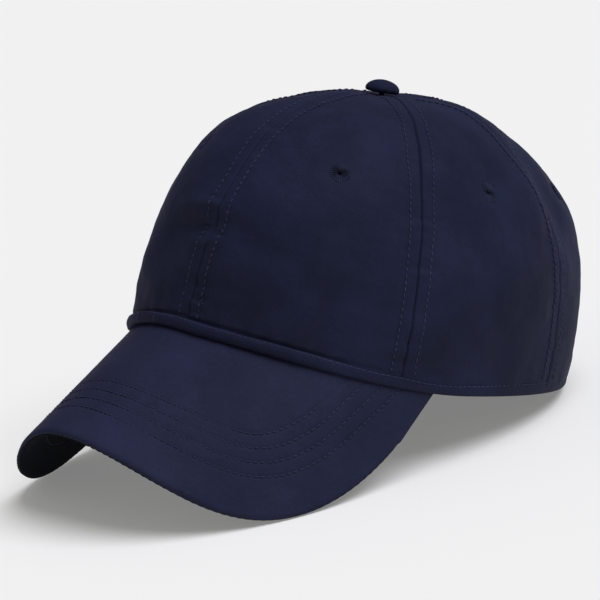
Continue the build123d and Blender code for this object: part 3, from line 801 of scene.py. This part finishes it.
def tape(name, azimuths, ws, node):
    """Folded tape along a seam inside the crown, both long edges stitched."""
    theta, w = azimuths, ws
    p = crown(theta, w, 2.55)
    n = crown_normal(theta, w)
    t = unit(np.gradient(p, axis=0))
    side = unit(np.cross(n, t))
    shape = []
    for k in range(16):
        a = k / 16 * 2 * np.pi
        x, y = np.cos(a), np.sin(a)
        shape.append((6.8 * np.sign(x) * abs(x) ** 0.35, 0.32 * np.sign(y) * abs(y) ** 0.6 - 0.02 * x))
    obj = sweep(name, p, (side, n), shape, tape_cloth)
    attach(obj, "crown")
    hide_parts(node)
    cut_cloth(obj, 13.6, 290.0 if node == "centre_seam_tape" else 138.0)
    lines = []
    for k, offset in enumerate((-SEAM_STITCH, SEAM_STITCH)):
        lines.append(stitch_row(p + side * offset - n * 0.36, -n, 2.75, 2.0, 0.5, seed=70 + k))
    stitches = threads(name + "_stitches", lines, thread)


front_up = np.concatenate([np.linspace(0.12, 1, 12, endpoint=False), np.linspace(1, 1.97, 90)])
back_down = np.linspace(1.97, float(w_for_height(np.array(180.0), np.array(OPEN_HIGH + 6.6))), 70)
centre_theta = np.concatenate([np.zeros(len(front_up)), np.full(len(back_down), 180.0)])
tape("tape_centre", centre_theta, np.concatenate([front_up, back_down]), "centre_seam_tape")
side_up = np.concatenate([np.linspace(0.12, 1, 12, endpoint=False), np.linspace(1, 1.86, 80)])
for azimuth, name, node in (
    (FRONT_SEAM, "tape_front_left", "front_left_seam_tape"),
    (-FRONT_SEAM, "tape_front_right", "front_right_seam_tape"),
    (REAR_SEAM, "tape_rear_left", "rear_left_seam_tape"),
    (-REAR_SEAM, "tape_rear_right", "rear_right_seam_tape"),
):
    tape(name, np.full(len(side_up), azimuth), side_up, node)


# ---------------------------------------------------------------- eyelets
def eyelet(name, azimuth, node):
    """Ring of thread wound radially round the hole, on both faces of the cloth."""
    a = np.array(azimuth, float)
    w = w_for_height(a, np.array(EYELET_HEIGHT))
    centre = crown(a, w)
    n = crown_normal(a, w)
    side = unit(np.cross(np.array([0, 0, 1.0]), n))
    up = np.cross(n, side)
    around, section = 240, 14
    verts = []
    rng = np.random.default_rng(int(abs(azimuth)) + 5)
    uneven = rng.normal(0, 0.10, 60)
    for i in range(around):
        ang = i / around * 2 * np.pi
        ridge = 0.5 + 0.5 * np.cos(ang * 27 + 1.5 * np.sin(ang * 3))
        out_r = 4.2 + 0.35 * ridge + 1.6 * uneven[(i * 40 // around) % 40]
        in_r = 0.95 + 1.5 * uneven[(i * 40 // around) % 40]
        for j in range(section):
            b = j / section * 2 * np.pi
            x, y = np.cos(b), np.sin(b)
            r = (out_r + in_r) / 2 + (out_r - in_r) / 2 * np.sign(x) * abs(x) ** 0.7
            h = (0.62 if y > 0 else 1.05) * np.sign(y) * abs(y) ** 0.7
            h = h * (1 + 0.9 * (ridge - 0.6)) - 0.45 * np.exp(-((r / 1.7) ** 2)) - 0.05
            bend = -(r * r) / 150.0
            d = side * np.cos(ang) + up * np.sin(ang)
            verts.append(centre + d * r + n * (h + bend))
    faces = []
    for i in range(around):
        k = (i + 1) % around
        for j in range(section):
            l = (j + 1) % section
            faces.append((i * section + j, i * section + l, k * section + l, k * section + j))
    obj = make_object(name, to_world(np.array(verts)), faces, eyelet_thread)
    outward(obj)
    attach(obj, "crown")
    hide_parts(node)


for side_name, sign in (("left", 1), ("right", -1)):
    for part, azimuth in (("front", EYELETS[0]), ("side", EYELETS[1]), ("rear", EYELETS[2])):
        eyelet(f"eyelet_{part}_{side_name}", sign * azimuth, f"{part}_{side_name}_eyelet")


# ---------------------------------------------------------------- button
def button():
    """Cloth pulled over the button's shell, gathered underneath."""
    outline = [(0.02, 5.25), (1.2, 5.2), (2.6, 4.98), (4.0, 4.55), (5.2, 3.9), (6.2, 3.0), (6.85, 2.0)]
    outline += [(6.95, 1.2), (6.6, 0.45), (6.0, 0.1), (5.2, 0.05), (4.4, 0.3), (3.0, 0.4), (1.3, 0.4)]
    around = 120
    verts = []
    for r, h in outline:
        for i in range(around):
            a = i / around * 2 * np.pi
            q = np.array([r * np.cos(a), r * np.sin(a), h]) * 1.05
            low = np.clip(1 - h / 3.5, 0, 1)
            pull = 0.16 * low * np.cos(a * 13 + 0.7 * np.sin(a * 3)) + 0.10 * noise(q, (2.2, 2.2, 1.6), 41)
            q[:2] *= 1 + pull / max(r, 2.0)
            q[2] += 0.08 * noise(q, (2.5, 2.5, 2.5), 42)
            verts.append(q + np.array([0, APEX_SHIFT, HEIGHT]))
    faces = grid_faces(len(outline), around, closed=True)
    faces.append(tuple(range(around)))
    obj = make_object("button_cloth", to_world(np.array(verts)), faces, shell)
    outward(obj)
    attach(obj, "crown")
    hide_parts("button_cover")


button()


# ---------------------------------------------------------------- visor
def visor_grid(margin_in, margin_out, cols, rows_):
    """Shares of the half width and distances from the root, over the whole visor."""
    s = np.sin(np.linspace(-np.pi / 2, np.pi / 2, cols)) * 0.985
    far = np.maximum(visor_reach(s) - margin_out, 3.0)
    part = np.linspace(0, 1, rows_)
    reach = margin_in + (far - margin_in) * part[:, None]
    return np.broadcast_to(s, reach.shape), reach


EDGE_Q = np.sin(np.linspace(-np.pi / 2, np.pi / 2, 1201)) * 0.985
EDGE = visor(EDGE_Q, np.maximum(visor_reach(EDGE_Q), 3.0))


def nearest(p, line):
    """Distance from each point to the nearest point of a line."""
    flat = p.reshape(-1, 3)
    out = np.empty(len(flat))
    for i in range(0, len(flat), 4000):
        part = flat[i : i + 4000]
        out[i : i + 4000] = np.sqrt(((part[:, None] - line[None]) ** 2).sum(-1)).min(1)
    return out.reshape(p.shape[:-1])


def edge_distance(p):
    """Distance from points of the visor to its outer edge."""
    return nearest(p, EDGE[::3])


def row_distance(p):
    """The same distance, with the edge run on straight past its rounded ends, as the stitching sees it."""
    middle = EDGE[np.abs(EDGE_Q) < 0.97][::3]
    past = np.arange(1, 60)[:, None]
    before = middle[0] + unit(middle[0] - middle[3]) * past
    after = middle[-1] + unit(middle[-1] - middle[-4]) * past
    return nearest(p, np.concatenate([before[::-1], middle, after]))


STITCH_AT = (17.0, 22.8, 28.6, 34.4)


def visor_skin(name, sign, node):
    """One cover of the visor, pulled over the board and turned under at the edge."""
    cols, rows_ = 300, 110
    q, reach = visor_grid(0.0, 0.0, cols, rows_)
    mid = visor(q, reach)
    d, sewn = edge_distance(mid), row_distance(mid)
    quilt = np.zeros_like(d)
    for at in STITCH_AT:
        quilt = quilt - 0.26 * np.exp(-(((sewn - at) / 0.75) ** 2))
    quilt = quilt + 0.10 * smooth(sewn, 13, 18) * (1 - smooth(sewn, 35, 41)) * noise(mid, (3.6, 3.6, 3.6), 22)
    quilt = quilt + 0.16 * noise(mid, (22, 22, 22), 23) + 0.04 * noise(mid, (4, 4, 4), 24)
    rounded = np.sqrt(np.clip(1 - (1 - np.clip(d / 2.1, 0, 1)) ** 2, 0, 1))
    full = 1.62 + quilt
    top = np.where(d < 2.1, full * rounded, full)
    outer = visor(q, reach, sign * top)
    inner = visor(q, reach, sign * np.maximum(top - 0.75, 0.02))
    faces = np.array(grid_faces(rows_, cols))
    count = rows_ * cols
    rim = []
    for j in range(cols - 1):
        rim.append((j + 1, j, j + count, j + 1 + count))
        last = (rows_ - 1) * cols
        rim.append((last + j, last + j + 1, last + j + 1 + count, last + j + count))
    for i in range(rows_ - 1):
        rim.append((i * cols, (i + 1) * cols, (i + 1) * cols + count, i * cols + count))
        k = cols - 1
        rim.append(((i + 1) * cols + k, i * cols + k, i * cols + k + count, (i + 1) * cols + k + count))
    verts = np.concatenate([outer.reshape(-1, 3), inner.reshape(-1, 3)])
    all_faces = np.concatenate([faces, faces[:, ::-1] + count, np.array(rim)]).tolist()
    # the top cover gets the visor cloth; the underside gets the darkened copy, painted shade under the visor
    obj = make_object(name, to_world(verts), all_faces, brim_cloth if sign > 0 else shaded_under_cloth)
    outward(obj)
    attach(obj, "crown")
    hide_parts(node)
    cut_cloth(obj, 215.0, 125.0, np.radians(2 * VISOR_END) * MEAN_RADIUS * VISOR_LENGTH)


visor_skin("visor_top", 1, "visor_top_cover")
visor_skin("visor_under", -1, "visor_under_cover")


def visor_core():
    """The plain board between the visor's covers."""
    q, reach = visor_grid(1.0, 3.0, 120, 30)
    q = 0.955 * q  # the board stops short of the covers' ends
    top = visor(q, reach, 0.6)
    low = visor(q, reach, -0.6)
    faces = np.array(grid_faces(30, 120))
    verts = np.concatenate([top.reshape(-1, 3), low.reshape(-1, 3)])
    obj = make_object("visor_core", to_world(verts), both_faces(faces, 30 * 120).tolist(), label_cloth)
    outward(obj)
    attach(obj, "crown")
    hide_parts("visor_board")


visor_core()


def visor_rows():
    """Lines at fixed distances from the visor's edge, on its top and underside."""
    qs = np.sin(np.linspace(-np.pi / 2, np.pi / 2, 2401)) * 0.985
    part = np.linspace(0, 1, 260)
    reach = visor_reach(qs)[:, None] * part
    q = np.broadcast_to(qs[:, None], reach.shape)
    mid = visor(q, reach)
    d = row_distance(mid)
    lines = []
    for at in STITCH_AT:
        pts = []
        for i in range(len(qs)):
            inside = np.nonzero((d[i][:-1] >= at) & (d[i][1:] < at))[0]
            if not len(inside):
                continue
            k = inside[0]
            f = (d[i][k] - at) / (d[i][k] - d[i][k + 1])
            r = reach[i][k] + (reach[i][k + 1] - reach[i][k]) * f
            pts.append((qs[i], r))
        pts = np.array(pts)
        for sign in (1, -1):
            p = visor(pts[:, 0], pts[:, 1], sign * 1.38)
            n = unit(p - visor(pts[:, 0], pts[:, 1], 0 * pts[:, 0]))
            lines.append((p, n))
    return lines


rows = [stitch_row(p, n, 2.85, 2.15, 0.6, seed=90 + i) for i, (p, n) in enumerate(visor_rows())]
threads("visor_topstitching", rows, thread)


# ---------------------------------------------------------------- strap and buckle
def arc(angle, radius):
    """Points of a circle round the strap's axis, and their outward directions."""
    a = np.radians(angle)
    points = np.stack([radius * np.sin(a), STRAP_AXIS_Y + radius * np.cos(a), 0 * a], -1)
    return points, np.stack([np.sin(a), np.cos(a), 0 * a], -1)


def flat_band(name, start, end, radius, thick, low, tall, body, node, tip=0.0):
    """Folded cloth band on a circle, its edges rounded and stitched."""
    steps = 140
    angle = np.linspace(start, end, steps)
    p, n = arc(angle, radius)
    up = np.broadcast_to(np.array([0, 0, 1.0]), p.shape)
    near_tip = np.clip((end - angle) * np.pi / 180 * radius, 0, 50)
    half = np.full(steps, tall / 2)
    if tip:
        half = tall / 2 * np.sqrt(np.clip(1 - (1 - np.clip(near_tip / tip, 0, 1)) ** 2, 0.02, 1))
    shape = []
    for k in range(20):
        a = k / 20 * 2 * np.pi
        x, y = np.cos(a), np.sin(a)
        out = thick / 2 * np.sign(x) * abs(x) ** 0.6 * np.ones(steps)
        shape.append(np.stack([half * np.sign(y) * abs(y) ** 0.35, out], -1))
    middle = p + up * (low + tall / 2)
    wave = 0.12 * noise(middle, (9, 9, 5), 77)
    obj = sweep(name, middle + n * wave[:, None] * 0.4, (up, n), np.stack(shape, 1), shell)
    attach(obj, body)
    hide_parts(node)
    cut_cloth(obj, tall, radius * np.radians(end - start))
    lines = []
    for k, edge in enumerate((-1, 1)):
        inside = (near_tip > 3.0) | (tip == 0)
        line = middle + up * (edge * (half - 2.0))[:, None]
        for side in (1, -1):
            on_face = (line + n * side * (thick / 2 - 0.12))[inside]
            lines.append(stitch_row(on_face, n[inside] * side, 2.7, 2.0, 0.5, sink=0.16, seed=100 + k))
    stitches = threads(name + "_stitches", lines, thread, body)


flat_band("strap_cloth", -60.0, 64.0, STRAP_RADIUS, 1.3, 5.5, 20.0, "strap", "strap", tip=8.0)
flat_band("buckle_loop_cloth", 23.6, 42.0, 58.9, 1.7, 7.5, 16.0, "crown", "buckle_loop")


def keeper(name, angle, node):
    """Narrow cloth loop that holds the strap's end."""
    a = np.radians(angle)
    centre = np.array([STRAP_RADIUS * np.sin(a), STRAP_AXIS_Y + STRAP_RADIUS * np.cos(a), STRAP_MIDDLE])
    n = np.array([np.sin(a), np.cos(a), 0.0])
    t = np.array([np.cos(a), -np.sin(a), 0.0])
    up = np.array([0, 0, 1.0])
    steps = 80
    ang = np.linspace(0, 2 * np.pi, steps, endpoint=False)
    x = 11.4 * np.sign(np.cos(ang)) * np.abs(np.cos(ang)) ** 0.22
    y = 1.55 * np.sign(np.sin(ang)) * np.abs(np.sin(ang)) ** 0.45
    path = centre + up * x[:, None] + n * y[:, None]
    run = unit(np.roll(path, -1, 0) - np.roll(path, 1, 0))
    away = unit(np.cross(run, t))
    shape = []
    for b in np.linspace(0, 2 * np.pi, 14, endpoint=False):
        u, v = np.cos(b), np.sin(b)
        shape.append((2.9 * np.sign(u) * abs(u) ** 0.4, 0.38 * np.sign(v) * abs(v) ** 0.6))
    tee = np.broadcast_to(t, path.shape)
    obj = sweep(name, path, (tee, away), shape, shell, closed=True)
    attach(obj, "crown")
    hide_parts(node)


keeper("keeper_loop", 51.0, "strap_keeper")
keeper("anchor_loop", -51.0, "strap_anchor")


def finish_cad_nodes():
    """Metal pieces keep their CAD shape and get a worked finish."""
    for name, material in (
        ("buckle_frame", buckle_metal),
        ("buckle_pin", buckle_metal),
        ("buckle_lever", buckle_metal),
        ("button_shell", steel),
        ("button_rivet", dark_metal),
        ("button_backing", dark_metal),
    ):
        obj = NODES[name]
        obj.data.materials.clear()
        obj.data.materials.append(material)


finish_cad_nodes()


# ---------------------------------------------------------------- camera, floor and light
def cap_camera():
    """The camera stands front-left of the wearer, a little above the hem, 1.4 m from the crown."""
    azimuth, elevation, nose_up, distance = np.radians(45.07), np.radians(15.09), np.radians(13.44), 1400.0
    c = np.cos(elevation)
    across = np.array([np.cos(azimuth), np.sin(azimuth), 0])
    back = np.array([np.sin(azimuth) * c, -np.cos(azimuth) * c, np.sin(elevation)])
    up = np.cross(back, across)
    middle = np.array([0, 0, 60.0])
    place = middle + back * distance
    target = middle + across * -14.15 + up * -34.0

    def level(v):
        c, s = np.cos(nose_up), np.sin(nose_up)
        return np.array([v[0], v[1] * c - v[2] * s, v[1] * s + v[2] * c])

    place, target, up = level(place), level(target), level(up)
    up = up[0] * RIGHT + up[1] * BACK + up[2] * UP
    return to_world(place), to_world(target), up


place, target, up = cap_camera()
camera_data = bpy.data.cameras.new("camera")
camera_data.lens = 199.6
camera_data.sensor_width = 36.0
camera_data.clip_end = 100.0
camera = bpy.data.objects.new("camera", camera_data)
bpy.context.scene.collection.objects.link(camera)
back_axis = unit(place - target)
right_axis = unit(np.cross(up, back_axis))
up_axis = np.cross(back_axis, right_axis)
turn = Matrix([list(right_axis), list(up_axis), list(back_axis)]).transposed().to_4x4()
camera.matrix_world = Matrix.Translation(Vector(place)) @ turn
bpy.context.scene.camera = camera


def resting_plane(centre=(4.0, 10.0)):
    """Height and slopes of the plane that the dressed cap's lowest spots touch, round its middle."""
    low = []
    for obj in bpy.context.scene.objects:
        if obj.type == "MESH" and not obj.hide_render and len(obj.data.vertices):
            v = np.empty(len(obj.data.vertices) * 3)
            obj.data.vertices.foreach_get("co", v)
            v = v.reshape(-1, 3) @ np.array(obj.matrix_world.to_3x3()).T
            v = v + np.array(obj.matrix_world.translation)
            low.append(v[v[:, 2] < 0.03] / MM)
    low = np.concatenate(low)
    best, span = (-1e9, 0.0, 0.0, 0.0), 0.2
    for _ in range(7):
        middle = best[2:]
        for b in middle[0] + np.linspace(-span, span, 9):
            for c in middle[1] + np.linspace(-span, span, 9):
                a = (low[:, 2] - b * low[:, 0] - c * low[:, 1]).min()
                height = a + b * centre[0] + c * centre[1]
                if height > best[0]:
                    best = (height, a, b, c)
        span /= 3
    return best[1:]


floor_mat, _, floor_bsdf = nodes_of("studio_floor", Roughness=0.9, Specular_IOR_Level=0.1)
floor_bsdf.inputs["Base Color"].default_value = (0.691, 0.674, 0.575, 1)
floor_bsdf.inputs["Emission Color"].default_value = (1, 1, 1, 1)
floor_bsdf.inputs["Emission Strength"].default_value = 0.20
rest, slope_x, slope_y = resting_plane()
reach = 12.0  # half the floor's width, in metres
corners = []
for x, y in ((-reach, -reach), (reach, -reach), (reach, reach), (-reach, reach)):
    corners.append((x, y, (rest - 0.2) * MM + slope_x * x + slope_y * y))
floor = make_object("floor", corners, [(0, 1, 2, 3)], floor_mat)
floor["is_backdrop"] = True

sun = bpy.data.lights.new("overhead", "SUN")
sun.energy = 2.7
sun.color = (0.95, 0.98, 1.22)
sun.angle = np.radians(50)
sun_lamp = bpy.data.objects.new("overhead", sun)
bpy.context.scene.collection.objects.link(sun_lamp)
sun_lamp.rotation_euler = Vector((0.30, 0.155, 1.0)).to_track_quat("Z", "Y").to_euler()

bpy.context.scene.view_settings.view_transform = "Standard"
world = bpy.data.worlds.new("studio")
bpy.context.scene.world = world
world.use_nodes = True
world.node_tree.nodes["Background"].inputs["Color"].default_value = (1, 1, 1, 1)
world.node_tree.nodes["Background"].inputs["Strength"].default_value = 0.25

visual_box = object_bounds()
boxes = {"cad": cad_box, "visual": visual_box}
{key: [list(map(float, c)) for c in box] for key, box in boxes.items()}
